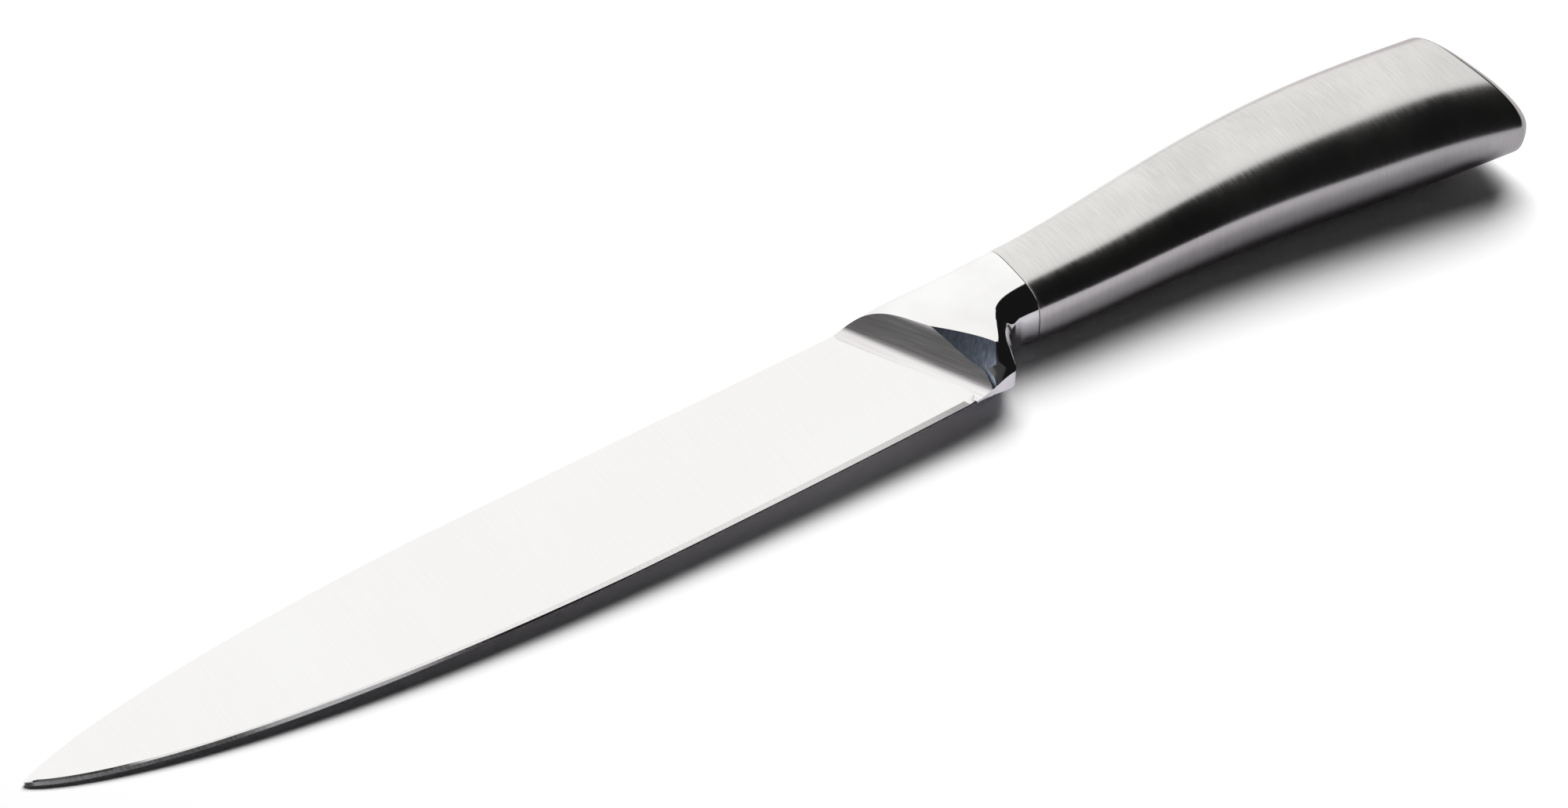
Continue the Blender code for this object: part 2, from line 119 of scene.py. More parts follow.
# %% Splines through the section values
def spline_through(points):
    """Return the natural cubic spline through (x, value) points."""
    xs, values = (np.array(column) for column in zip(*points))
    steps = np.diff(xs)
    slopes = np.diff(values) / steps
    system, turns = np.eye(len(xs)), np.zeros(len(xs))
    for i in range(1, len(xs) - 1):
        system[i, i - 1:i + 2] = steps[i - 1], 2 * (steps[i - 1] + steps[i]), steps[i]
        turns[i] = 6 * (slopes[i] - slopes[i - 1])
    bends = np.linalg.solve(system, turns)

    def value_at(x):
        i = int(np.clip(np.searchsorted(xs, x) - 1, 0, len(steps) - 1))
        past, left, step = x - xs[i], xs[i + 1] - x, steps[i]
        cubic = (bends[i] * left ** 3 + bends[i + 1] * past ** 3) / (6 * step)
        near = (values[i] / step - bends[i] * step / 6) * left
        return cubic + near + (values[i + 1] / step - bends[i + 1] * step / 6) * past

    return value_at


spine_line = spline_through([(x, spine) for x, spine, _, _ in SECTIONS])
belly_line = spline_through([(x, belly) for x, _, belly, _ in SECTIONS])
half_thickness = spline_through([(x, half) for x, _, _, half in SECTIONS])
for x in (SEAM_X, 0.260, BUTT_X):
    high, thick = spine_line(x) - belly_line(x), 2 * half_thickness(x)
    print(f"x {1000 * x:.0f} mm: {1000 * high:.1f} high, {1000 * thick:.1f} thick")

# %% One oval section
SQUARENESS = (2.5, 3.2, 2.7)    # at the ramp, the seam and the butt
LEAN_ROUNDS = 6                 # how often a leaning section is looked up again to find its place


def squareness(x):
    """Exponent of the section: 2 is an ellipse, more is fuller in the shoulders."""
    return float(np.interp(x, (BLADE_LENGTH, SEAM_X, BUTT_X), SQUARENESS))


def raised(value, power):
    """A power that keeps the value's sign."""
    return math.copysign(abs(value) ** power, value)


def section(station, count, bottom=None, inset=0.0, lean=0.0, below=None):
    """Points of one section, the first at the spine; a lean shifts the points below y = 0 to the butt.

    The lower half can be given a bottom and an exponent of its own.
    """
    points = []
    for i in range(count):
        turn = 2 * math.pi * i / count
        x, y, z = station, 0.0, 0.0
        for _ in range(LEAN_ROUNDS if lean else 1):
            spine, belly = spine_line(x), belly_line(x)
            widest, power = (spine + belly) / 2, 2 / squareness(x)
            if below and math.cos(turn) < 0:
                power = 2 / below
            reach = spine - widest if math.cos(turn) > 0 else widest - (belly if bottom is None else bottom)
            y = widest + (reach - inset) * raised(math.cos(turn), power)
            z = (half_thickness(x) - inset) * raised(math.sin(turn), power)
            x = station - lean * y
        points.append(Vector((x, y, z)))
    return points


print("section at the seam, spine point:", [round(1000 * v, 2) for v in section(SEAM_X, 8)[0]])


# %% [markdown]
# ## Drawing a ring along
#
# Steel handles and forgings are pulled shapes: one closed outline that changes as it goes along. In
# Blender that is a circle whose edge is extruded again and again, and after each step the new ring is
# moved to its section. The mesh that comes out is a clean grid, which matters here, because a mirror
# finish shows every uneven face.

# %% From a bmesh to an object
def as_object(name, bm):
    """Turn a finished bmesh into an object of the scene."""
    mesh = bpy.data.meshes.new(name)
    bm.to_mesh(mesh)
    bm.free()
    thing = bpy.data.objects.new(name, mesh)
    bpy.context.collection.objects.link(thing)
    return thing


def report(thing):
    """Print a piece's triangles and the size of its box."""
    mesh = thing.data
    mesh.calc_loop_triangles()
    size = [max(v.co[i] for v in mesh.vertices) - min(v.co[i] for v in mesh.vertices) for i in range(3)]
    print(f"{thing.name}: {len(mesh.loop_triangles)} triangles,",
          " x ".join(f"{1000 * s:.1f}" for s in size), "mm")


# %% The pulled form
def follow(ring, fresh):
    """The new vertices in the order of the ring that they were extruded from."""
    fresh = set(fresh)
    return [next(e.other_vert(v) for e in v.link_edges if e.other_vert(v) in fresh) for v in ring]


def pulled_form(name, rings):
    """A closed solid drawn through a row of rings with the same count of points."""
    bm = bmesh.new()
    ring = bmesh.ops.create_circle(bm, segments=len(rings[0]), radius=1.0)["verts"]
    edges = bm.edges[:]
    first_edges = edges
    for number, points in enumerate(rings):
        if number:
            grown = bmesh.ops.extrude_edge_only(bm, edges=edges)["geom"]
            ring = follow(ring, [g for g in grown if isinstance(g, bmesh.types.BMVert)])
            edges = [g for g in grown if isinstance(g, bmesh.types.BMEdge)]
        for vert, point in zip(ring, points):
            vert.co = point
    for loop in (first_edges, edges):
        bmesh.ops.contextual_create(bm, geom=loop)
    bmesh.ops.recalc_face_normals(bm, faces=bm.faces)
    if bm.calc_volume(signed=True) < 0:
        bmesh.ops.reverse_faces(bm, faces=bm.faces)
    return as_object(name, bm)


QUARTER_TURN = np.linspace(0, math.pi / 2, 4)    # the directions that make up every small rounding
print("small roundings turn through", [round(math.degrees(turn)) for turn in QUARTER_TURN], "degrees")

# %% [markdown]
# ## The handle
#
# On the real knife two pressed shells are welded together, welded to the bolster, closed with a cap and
# then ground flush, so the eye finds one unbroken skin. It could be shown as three pieces with joints
# between them, but those joints are exactly what the grinder removed. So one fine skin stands for the two
# shells and the cap. Its front rim is broken by a tenth of a millimetre, which leaves the hairline at the
# bolster, and its butt ends in a round, a broad chamfer and a second round.

# %% The end of the handle
BUTT_SLANT = 10.5           # of the end, in degrees
# the end's profile, piece by piece: it turns from one angle to the next, in degrees, over a length
BUTT_PROFILE = ((0, 38, 0.0010), (38, 46, 0.0019), (46, 90, 0.0007))
BUTT_STEPS = 9              # for each piece of the profile


def handle_lean(station):
    """Lean of a section: none at the seam, and the end's own slant at the butt."""
    share = min(1.0, max(0.0, (station - SEAM_X) / HANDLE_LENGTH))
    return math.tan(math.radians(BUTT_SLANT)) * share ** 3


def butt_rings():
    """Rings of the end, as (distance along x, inset)."""
    x = inset = 0.0
    rings = []
    for first, last, length in BUTT_PROFILE:
        for share in (np.arange(BUTT_STEPS) + 0.5) / BUTT_STEPS:
            turn = math.radians(first + (last - first) * share)
            x += length / BUTT_STEPS * math.cos(turn)
            inset += length / BUTT_STEPS * math.sin(turn)
            rings.append((x, inset))
    return rings


print(f"the end is {1000 * butt_rings()[-1][0]:.1f} mm deep and {1000 * butt_rings()[-1][1]:.1f} mm inset")

# %% Handle skin
SEAM_GAP = 0.00010          # the hairline between bolster and handle
RIM = 0.00012               # radius of the broken rims beside it
AROUND = 192                # points round a section
HANDLE_STATIONS = 170


def make_handle():
    start = SEAM_X + SEAM_GAP
    end = butt_rings()
    end_start = BUTT_X - end[-1][0]
    places = [(start + RIM * (1 - math.cos(t)), RIM * (1 - math.sin(t))) for t in QUARTER_TURN]
    places += [(x, 0.0) for x in np.linspace(start + RIM, end_start, HANDLE_STATIONS)[1:]]
    places += [(end_start + x, inset) for x, inset in end]
    return pulled_form("handle", [section(x, AROUND, inset=inset, lean=handle_lean(x)) for x, inset in places])


handle = make_handle()
report(handle)

# %% [markdown]
# ## The blade
#
# A fillet blade is ground flat on both sides, thin at the edge and thinner still at the tip. Its edge gets
# a second, steeper bevel on the stone and a last honed strip, which widens towards the tip. Spine and edge
# each leave the tip in one curve and then run nearly straight. A flat sheet could be cut to this outline,
# but its sides would then have to be thinned point by point. Instead a section with fourteen corners is
# pulled from the tip to the root: two corners at the edge, two at the top of the strip, two at the top of
# the bevel, and four on each shoulder of the spine to round it.

# %% Outline of the blade
TIP_HEIGHT = 0.0007
SPINE_HEIGHT = 0.0112           # of the straight spine above the tip
SPINE_CURVE_RUN = 0.0935        # where the spine becomes straight
SPINE_TIP_PULL = (0.0215, 0.0096)
SPINE_BACK_PULL = 0.0118
BELLY_DEPTH = 0.0189            # of the edge below the tip
BELLY_RUN = 0.1317              # where the edge is lowest
BELLY_TIP_PULL = 0.0014
BELLY_BACK_PULL = 0.1032
HEEL_RISE = 0.0008
HEEL_X, HEEL_Y = BLADE_LENGTH + 0.0106, HEEL_RISE - BELLY_DEPTH
ROOT_CLIMB = 30.0               # of the edge inside the bolster, in degrees
HALVINGS = 40


def bezier(start, pull_out, pull_in, end, t):
    """A point on a curve that two pulls bend."""
    s = 1 - t
    weights = (s ** 3, 3 * s * s * t, 3 * s * t * t, t ** 3)
    return tuple(sum(w * p[i] for w, p in zip(weights, (start, pull_out, pull_in, end))) for i in (0, 1))


def height_on(curve, x):
    """Height of a curve above x, found by halving."""
    low, high = 0.0, 1.0
    for _ in range(HALVINGS):
        middle = (low + high) / 2
        low, high = (middle, high) if curve(middle)[0] < x else (low, middle)
    return curve(low)[1]


def spine_height(x):
    if x >= SPINE_CURVE_RUN:
        return SPINE_HEIGHT
    ends = (0, TIP_HEIGHT / 2), (SPINE_CURVE_RUN, SPINE_HEIGHT)
    pull = (SPINE_CURVE_RUN - SPINE_BACK_PULL, SPINE_HEIGHT)
    return height_on(lambda t: bezier(ends[0], SPINE_TIP_PULL, pull, ends[1], t), x)


def edge_height(x):
    if x >= HEEL_X:
        return HEEL_Y + (x - HEEL_X) * math.tan(math.radians(ROOT_CLIMB))
    if x >= BELLY_RUN:
        return -BELLY_DEPTH + HEEL_RISE * ((x - BELLY_RUN) / (HEEL_X - BELLY_RUN)) ** 2
    ends = (0, -TIP_HEIGHT / 2), (BELLY_RUN, -BELLY_DEPTH)
    pulls = (0, -TIP_HEIGHT / 2 - BELLY_TIP_PULL), (BELLY_RUN - BELLY_BACK_PULL, -BELLY_DEPTH)
    return height_on(lambda t: bezier(ends[0], *pulls, ends[1], t), x)


MID_BLADE = 0.095
print(f"blade at mid length: {1000 * (spine_height(MID_BLADE) - edge_height(MID_BLADE)):.1f} mm high")

# %% Thickness and bevel of the blade
SPINE_THICKNESS = 0.0021        # at the foot of the ramp
EDGE_THICKNESS = 0.0006         # the same, before the bevel is ground
TIP_THICKNESS = 0.0008
CUTTING_THICKNESS = 0.00004
BEVEL_AT_TIP, BEVEL_AT_HEEL = 0.0013, 0.0014
BEVEL_LIMIT, STRIP_LIMIT = 0.4, 0.95    # the bevel's most of the blade, and the strip's most of the bevel
# along x: width of the honed strip at the very edge, and half the thickness at its top
HONED_STRIP = ((0.0, 0.00080, 0.00017), (0.055, 0.00090, 0.00018), (0.087, 0.00058, 0.00014),
               (0.121, 0.00025, 0.00010), (0.160, 0.00018, 0.00013), (0.200, 0.00018, 0.00018))


def blade_half(x, y):
    """Half thickness of the ground blade: one plane on each side."""
    rise = (SPINE_THICKNESS - EDGE_THICKNESS) / 2 / (SPINE_HEIGHT - HEEL_Y)
    at_foot = SPINE_THICKNESS / 2 - rise * SPINE_HEIGHT
    return at_foot + rise * y - (at_foot - TIP_THICKNESS / 2) / BLADE_LENGTH * (BLADE_LENGTH - x)


def bevel_width(x, tall):
    """Width of the whole bevel on a blade of this height."""
    width = float(np.interp(x, (0, BLADE_LENGTH), (BEVEL_AT_TIP, BEVEL_AT_HEEL)))
    return min(width, BEVEL_LIMIT * tall)


def honed_strip(x, bevel):
    """Width of the strip at the very edge, and half the thickness at its top."""
    stations, widths, halves = zip(*HONED_STRIP)
    width, half = float(np.interp(x, stations, widths)), float(np.interp(x, stations, halves))
    return min(width, STRIP_LIMIT * bevel), half


print(f"blade at mid length: {2000 * blade_half(MID_BLADE, 0):.2f} mm thick")

# %% Blade blank
BLADE_STATIONS = 150
TIP_CROWDING = 0.65             # how much closer the stations stand at the tip
BLADE_ROOT = 0.0042             # how far the blank reaches into the bolster
ROOT_POWER = 8                  # how late the stations lean over to the ramp's slant
RAMP_SLANT = 29.0               # the ramp's foot leans forward at the spine, in degrees
SPINE_ROUNDING = 0.00025
ROUNDING_LIMIT = 0.2            # its most of the blade's height
STRIP_FIT = 0.98                # the strip stays this much inside the blade's side
PLACE_ROUNDS = 8


def blade_section(station, lean):
    """The corners of one section: up the left side from the edge, and down the right side."""
    spine = edge = 0.0
    for _ in range(PLACE_ROUNDS):
        spine, edge = spine_height(station - lean * spine), edge_height(station - lean * edge)
    tall = spine - edge
    bevel = bevel_width(station, tall)
    strip, strip_half = honed_strip(station, bevel)
    strip_half = min(strip_half, STRIP_FIT * blade_half(station, edge + strip))
    corner = min(SPINE_ROUNDING, ROUNDING_LIMIT * tall)
    left = [Vector((station - lean * y, y, half))
            for y, half in ((edge, CUTTING_THICKNESS / 2), (edge + strip, strip_half))]
    shoulder = [(spine - corner * (1 - math.sin(t)), corner * (1 - math.cos(t))) for t in QUARTER_TURN]
    for y, inset in [(edge + bevel, 0.0)] + shoulder:
        x = station - lean * y
        left.append(Vector((x, y, blade_half(x, y) - inset)))
    return left + [Vector((p.x, p.y, -p.z)) for p in reversed(left)]


def make_blade():
    rings = []
    for i in range(BLADE_STATIONS + 1):
        share = i / BLADE_STATIONS
        at_root = share ** ROOT_POWER
        station = BLADE_LENGTH * share * (1 - TIP_CROWDING * (1 - share)) + BLADE_ROOT * at_root
        rings.append(blade_section(station, math.tan(math.radians(RAMP_SLANT)) * at_root))
    return pulled_form("blade_and_bolster", rings)


forging = make_blade()
report(forging)

# %% [markdown]
# ## The bolster
#
# Bolster and guard are forged in one piece with the blade and then ground. The blank is an oval whose
# lower half is drawn down to the guard. It is pulled a little too large behind the guard, and fuller below
# than the handle, because the finger curve is ground into it afterwards, as on the real forging. A block
# could be carved to the same form, but sections that follow the underside give soft, full sides at once.

# %% Underside of the guard
GUARD_CLIMB = 6.5               # from the heel to the guard's corner, in degrees
GUARD_CORNER_RADIUS = 0.0013
FINGER_WALL_ANGLE = 67.0        # of the straight wall behind the guard, in degrees
FINGER_RADIUS = 0.0055
RAMP_BITE = 0.00008             # the ramp's wheel cuts this much under the blade's side
HEEL_STEPS, CORNER_STEPS, WALL_STEPS, ARC_STEPS = 18, 14, 14, 34


def round_point(centre, radius, across, along):
    return centre + radius * Vector((across, along))


def guard_outline():
    """(x, y) points from the heel of the edge to the top of the finger curve."""
    climb, wall = math.radians(GUARD_CLIMB), math.radians(FINGER_WALL_ANGLE)
    heel = Vector((HEEL_X, HEEL_Y + RAMP_BITE))
    centre = Vector((FINGER_TOP_X, FINGER_TOP_Y - FINGER_RADIUS))
    arc_end = round_point(centre, FINGER_RADIUS, -math.sin(wall), math.cos(wall))
    along_heel, along_wall = (Vector((math.cos(angle), math.sin(angle))) for angle in (climb, wall))
    offset = arc_end - heel
    run = (offset.x * along_wall.y - offset.y * along_wall.x) / (
        along_heel.x * along_wall.y - along_heel.y * along_wall.x)
    run -= GUARD_CORNER_RADIUS * math.tan((wall - climb) / 2)
    corner = heel + along_heel * run + GUARD_CORNER_RADIUS * Vector((-along_heel.y, along_heel.x))
    points = [heel + along_heel * run * t for t in np.linspace(0, 1, HEEL_STEPS + 1)[:-1]]
    points += [round_point(corner, GUARD_CORNER_RADIUS, math.sin(t), -math.cos(t))
               for t in np.linspace(climb, wall, CORNER_STEPS)]
    wall_start = points[-1]
    points += [wall_start.lerp(arc_end, t) for t in np.linspace(0, 1, WALL_STEPS)[1:-1]]
    points += [round_point(centre, FINGER_RADIUS, -math.sin(t), math.cos(t))
               for t in np.linspace(wall, 0, ARC_STEPS)]
    return points


OUTLINE = guard_outline()
CORNER_X = OUTLINE[HEEL_STEPS].x    # where the guard's rounded corner starts
print(f"guard outline: {len(OUTLINE)} points, heel to finger top {1000 * (FINGER_TOP_X - HEEL_X):.1f} mm")

# %% Bolster blank
FORGED_SURPLUS = Vector((0.0020, -0.0004))    # how far the blank stands proud of the finger curve
BLADE_END_FULLNESS, GUARD_FULLNESS = 2.9, 6.0
FULLNESS_RUN = (0.198, 0.206)                 # where the one becomes the other
HEEL_STATIONS, GUARD_STATIONS, FINGER_STATIONS = 60, 24, 90
NEXT_STATION = 1e-5                           # so that no two rings lie in one place


def fullness(x):
    """Exponent of the blank's lower half."""
    return float(np.interp(x, FULLNESS_RUN, (BLADE_END_FULLNESS, GUARD_FULLNESS)))


def blank_bottom(x):
    """Underside of the blank: the guard's line, then the finger curve with its surplus, then the belly."""
    line = OUTLINE[0].y + (x - HEEL_X) * math.tan(math.radians(GUARD_CLIMB))
    if x <= CORNER_X:
        return min(line, OUTLINE[0].y) if x < HEEL_X else line
    proud = np.interp(x - FORGED_SURPLUS.x, [p.x for p in OUTLINE], [p.y for p in OUTLINE]) + FORGED_SURPLUS.y
    return float(min(proud, belly_line(x) + FORGED_SURPLUS.y))


def make_bolster():
    stations = list(np.linspace(SECTIONS[0][0], HEEL_X, HEEL_STATIONS)[:-1])
    stations += list(np.linspace(HEEL_X, CORNER_X, GUARD_STATIONS))
    stations += list(np.linspace(CORNER_X + NEXT_STATION, SEAM_X - RIM, FINGER_STATIONS))
    rings = [section(x, AROUND, bottom=blank_bottom(x), below=fullness(x)) for x in stations]
    rings += [section(SEAM_X - RIM * (1 - math.sin(t)), AROUND, bottom=blank_bottom(SEAM_X),
                      below=GUARD_FULLNESS, inset=RIM * (1 - math.cos(t))) for t in QUARTER_TURN[1:]]
    return pulled_form("bolster_blank", rings)


bolster = make_bolster()
report(bolster)


# %% [markdown]
# ## Grinding the ramp
#
# A small wheel, laid across the blade at 29 degrees, cuts the ramp that joins the thin blade to the thick
# bolster. The surest way to get the crests where such cuts meet is to do what the grinder does: make the
# cutters and subtract them. The exact boolean also hands each cut face the cutter's material, so each gets
# its own grinding marks, and the flank also its painted blue reflection.

# %% Cutting with real wheels
def wheel(name, radius, length, segments):
    """A cylinder along x, centred on the origin."""
    bm = bmesh.new()
    bmesh.ops.create_cone(bm, cap_ends=True, segments=segments, radius1=radius, radius2=radius, depth=length)
    bmesh.ops.rotate(bm, verts=bm.verts, matrix=Matrix.Rotation(math.pi / 2, 3, "Y"))
    return as_object(name, bm)


def block(name, size):
    """A cube that grows from the origin towards -x."""
    bm = bmesh.new()
    bmesh.ops.create_cube(bm, size=size)
    bmesh.ops.translate(bm, verts=bm.verts, vec=(-size / 2, 0, 0))
    return as_object(name, bm)


def flip_side(thing, side):
    """Turn a cutter made for the left side into its mirror image."""
    if side < 0:
        thing.data.transform(Matrix.Scale(-1, 4, (0, 0, 1)))
        thing.data.flip_normals()


def combine(thing, other, operation):
    """Join the second solid to the first, or cut it away, and drop the second."""
    change = thing.modifiers.new(operation.title(), "BOOLEAN")
    change.operation, change.object = operation, other
    change.solver, change.material_mode = "EXACT", "TRANSFER"
    bpy.context.view_layer.update()
    thing.data = bpy.data.meshes.new_from_object(
        thing.evaluated_get(bpy.context.evaluated_depsgraph_get()))
    thing.modifiers.clear()
    bpy.data.objects.remove(other, do_unlink=True)


# %% The ramp's foot
SMALL_STEP = 1e-3


def blade_plane():
    """The frame of the ramp's foot line, lying in the left side of the blade."""
    slant = math.radians(RAMP_SLANT)
    at_foot = blade_half(BLADE_LENGTH, 0)
    slope_x = (blade_half(BLADE_LENGTH + SMALL_STEP, 0) - at_foot) / SMALL_STEP
    slope_y = (blade_half(BLADE_LENGTH, SMALL_STEP) - at_foot) / SMALL_STEP
    up = Vector((-slope_x, -slope_y, 1)).normalized()
    along = Vector((-math.sin(slant), math.cos(slant), 0))
    along = (along - along.dot(up) * up).normalized()
    foot = Matrix.Translation(Vector((BLADE_LENGTH, 0, at_foot)))
    return foot @ Matrix((along.cross(up), along, up)).transposed().to_4x4()


FOOT = blade_plane()
print("ramp foot frame:", [[round(v, 3) for v in row[:3]] for row in FOOT])

# %% The ramp's wheel
RAMP_RADIUS = 0.010
CUTTER_SIZE = 0.08              # long enough to pass through the bolster anywhere
WHEEL_SEGMENTS = 480


def front_cutter():
    """Everything ahead of the ramp's foot line, where the thin blade takes over."""
    ahead = block("ahead_of_ramp", CUTTER_SIZE)
    slant = Matrix.Rotation(math.radians(RAMP_SLANT), 4, "Z")
    ahead.data.transform(Matrix.Translation((BLADE_LENGTH, 0, 0)) @ slant)
    return ahead


def ramp_rise(past):
    """Height of the ramp above the blade at a distance past its foot."""
    return RAMP_RADIUS - math.sqrt(RAMP_RADIUS ** 2 - past ** 2)


def ramp_cutter(side):
    """The small wheel, standing on its foot line."""
    rim = wheel("ramp_wheel", RAMP_RADIUS, CUTTER_SIZE, WHEEL_SEGMENTS)
    rim.data.transform(Matrix.Rotation(math.pi / 2, 4, "Z"))
    rim.data.transform(FOOT @ Matrix.Translation((0, 0, RAMP_RADIUS - RAMP_BITE)))
    flip_side(rim, side)
    return rim


print(f"the ramp rises {1000 * ramp_rise(0.005):.2f} mm in its first 5 mm")

# %% [markdown]
# ## The flank
#
# Below the ramp a belt takes a shallow, hollow facet off the bolster's flank, down to the thin heel. A
# second wheel could cut it, but a belt gives a little, and its facet is easier to fit as a height over the
# blade's plane: it rises to the butt and to the spine and is hollow across. The same heights, closed with a
# flat top, are the solid that cuts it.

# %% The flank's belt
FLANK_POINT = Vector((0.2040, -0.0080, 0.00419))
FLANK_SLOPES = (0.812, 0.529)   # along x and along y
FLANK_HOLLOW = 8.2              # curvature across the facet, per metre
FLANK_LIFT = 1500               # how fast the belt lifts off ahead of the crest, per metre
FLANK_RUN = (0.001, -0.021)     # the belt's upper and lower ends along y
FLANK_ROWS, FLANK_COLUMNS = 67, 61
CREST_START, CREST_SLANT, CREST_END = 0.2009, 0.34, 0.2056    # x at the tip's height, its slant, and its limit
LIFT_AHEAD = 0.0002             # how far ahead of the crest the belt starts to lift off
BELT_AHEAD, BELT_BEHIND = 0.003, 0.010    # how far it reaches to both sides of the crest
CUTTER_REACH = 0.02             # past the thickest part of the forging


def crest_x(y):
    """Where ramp and flank meet."""
    return min(CREST_START - CREST_SLANT * y, CREST_END)


def flank_height(x, y):
    """The hollow facet of the flank; ahead of the crest it lifts clear of the ramp."""
    ahead = max(0.0, crest_x(y) - LIFT_AHEAD - x)
    across = y - FLANK_POINT.y
    slope = FLANK_SLOPES[0] * (x - FLANK_POINT.x) + FLANK_SLOPES[1] * across
    return FLANK_POINT.z + slope + FLANK_HOLLOW * across ** 2 + FLANK_LIFT * ahead ** 2


def flank_cutter(side):
    """The belt, as a solid whose underside is the facet."""
    rings = []
    for y in np.linspace(*FLANK_RUN, FLANK_ROWS):
        xs = np.linspace(crest_x(y) - BELT_AHEAD, crest_x(y) + BELT_BEHIND, FLANK_COLUMNS)
        rings.append([Vector((x, y, flank_height(x, y))) for x in xs]
                     + [Vector((xs[-1], y, CUTTER_REACH)), Vector((xs[0], y, CUTTER_REACH))])
    belt = pulled_form("flank_belt", rings)
    flip_side(belt, side)
    return belt


print(f"ramp and flank meet {1000 * (crest_x(0) - BLADE_LENGTH):.1f} mm behind the ramp's foot")

# %% [markdown]
# ## The finger curve
#
# Behind the guard the underside runs up in a wall and an arc, and its edge is rounded by hand: narrow at
# the guard, and wider and wider until it is the handle's own oval. A bevel modifier has one width for a
# whole edge, so the rounding is a cutter too. It is pulled along the guard's outline, and each of its rings
# is a C that reaches round the edge from both sides.

# %% Height of the side where the rounding starts
RAMP_END = 0.99                 # share of the wheel's radius up to which the ramp is counted


def side_height(x, y):
    """Height of the ground left side, from blank, ramp and flank."""
    spine, belly = spine_line(x), belly_line(x)
    widest = (spine + belly) / 2
    share = (widest - y) / (widest - blank_bottom(x)) if y < widest else (y - widest) / (spine - widest)
    power = fullness(x) if y < widest else squareness(x)
    blank = half_thickness(x) * (1 - min(1.0, share) ** power) ** (1 / power)
    slant = math.radians(RAMP_SLANT)
    past_foot = (x - BLADE_LENGTH) * math.cos(slant) + y * math.sin(slant)
    if past_foot > RAMP_END * RAMP_RADIUS:
        return min(blank, flank_height(x, y))
    return min(blank, blade_half(x, y) - RAMP_BITE + ramp_rise(max(0.0, past_foot)), flank_height(x, y))


print(f"side at the finger curve's top: {1000 * side_height(FINGER_TOP_X, 0):.2f} mm")

# %% The rounding along the curve
# along x: width of the rounding, its exponent, how far it starts above the side, the share of the height
# that stays flat, and how far round it goes, in degrees
FINGER_EDGE = (
    (0.2045, 0.0016, 2.0, 0.030, 0.60, 50),
    (0.2075, 0.0034, 2.0, 0.030, 0.60, 50),
    (0.2100, 0.0040, 2.0, 0.030, 0.57, 50),
    (0.2118, 0.0040, 2.0, 0.030, 0.56, 50),
    (0.2136, 0.0034, 2.0, 0.028, 0.55, 50),
    (0.2154, 0.0046, 2.1, 0.016, 0.50, 55),
    (0.2175, 0.0061, 2.5, 0.006, 0.46, 65),
    (0.2197, 0.0078, 3.0, 0.003, 0.20, 82),
    (0.2223, 0.0094, 3.2, 0.002, 0.01, 90),
    (0.2253, 0.0100, 3.2, 0.002, 0.01, 90),
)
EDGE_SHAPE = [spline_through([(row[0], row[i]) for row in FINGER_EDGE]) for i in range(1, 6)]
WALL_X = 0.2118                 # up to here the rounding's direction is given, in degrees, and not computed
EDGE_TURN = spline_through([(0.2045, 100), (0.2075, 118), (0.2100, 140), (WALL_X, 157), (0.2125, 157)])
CLEAR_X, EDGE_CLEAR = 0.2105, 0.00003    # up to here the cutter stands this far off the guard's edge
EDGE_OUTSIDE = 0.0026           # how far the cutter starts outside the forging
LEAST_FLAT = 0.01
EDGE_STEPS = 22


def edge_direction(x):
    """Direction from the curve into the forging, as an angle."""
    if x < WALL_X:
        return math.radians(EDGE_TURN(x))
    steepest = math.sin(math.radians(FINGER_WALL_ANGLE))
    return math.pi / 2 + math.asin(min(steepest, max(0.0, (FINGER_TOP_X - x) / FINGER_RADIUS)))


def edge_ring(point, inset=0.0):
    """One ring of the finger cutter."""
    width, power, above, flat, far = (shape(point.x) for shape in EDGE_SHAPE)
    far = math.radians(min(far, 90.0))
    inwards = edge_direction(point.x)
    into = Vector((math.cos(inwards), math.sin(inwards)))
    start = point + into * (inset - (EDGE_CLEAR if point.x < CLEAR_X else 0.0))
    top = point + into * width
    high = side_height(top.x, top.y) * (1 + above) - inset
    side = []
    for turn in np.linspace(0, far, EDGE_STEPS):
        out = (math.sin(turn) / math.sin(far)) ** (2 / power)
        down = (1 - math.cos(turn) ** (2 / power)) / (1 - max(0.0, math.cos(far)) ** (2 / power))
        side.append(Vector((*top.lerp(start, out), high * (1 - (1 - max(flat, LEAST_FLAT)) * down))))
    outside = point - into * EDGE_OUTSIDE
    upper = [Vector((*outside, CUTTER_REACH)), Vector((*top, CUTTER_REACH))] + side
    return upper + [Vector((p.x, p.y, -p.z)) for p in reversed(upper)]


print("rounding at the guard and at the seam:",
      *(f"{1000 * EDGE_SHAPE[0](x):.1f} mm" for x in (FINGER_EDGE[0][0], SEAM_X)))

# %% The finger cutter
BELLY_STATIONS = 16
PAST_SEAM = Vector((0.0005, 0, 0))


def finger_cutter():
    """Both sides at once, from the guard's underside to just past the seam."""
    rings = [edge_ring(point) for point in OUTLINE if point.x > FINGER_EDGE[0][0]]
    rings += [edge_ring(Vector((x, belly_line(x))))
              for x in np.linspace(FINGER_TOP_X, SEAM_X - RIM, BELLY_STATIONS)[1:]]
    for t in QUARTER_TURN[1:]:
        x = SEAM_X - RIM * (1 - math.sin(t))
        rings.append(edge_ring(Vector((x, belly_line(x))), RIM * (1 - math.cos(t))))
    rings.append([p + PAST_SEAM for p in rings[-1]])
    return pulled_form("finger_belt", rings)


print("points in one ring of the finger cutter:", len(edge_ring(OUTLINE[-1])))
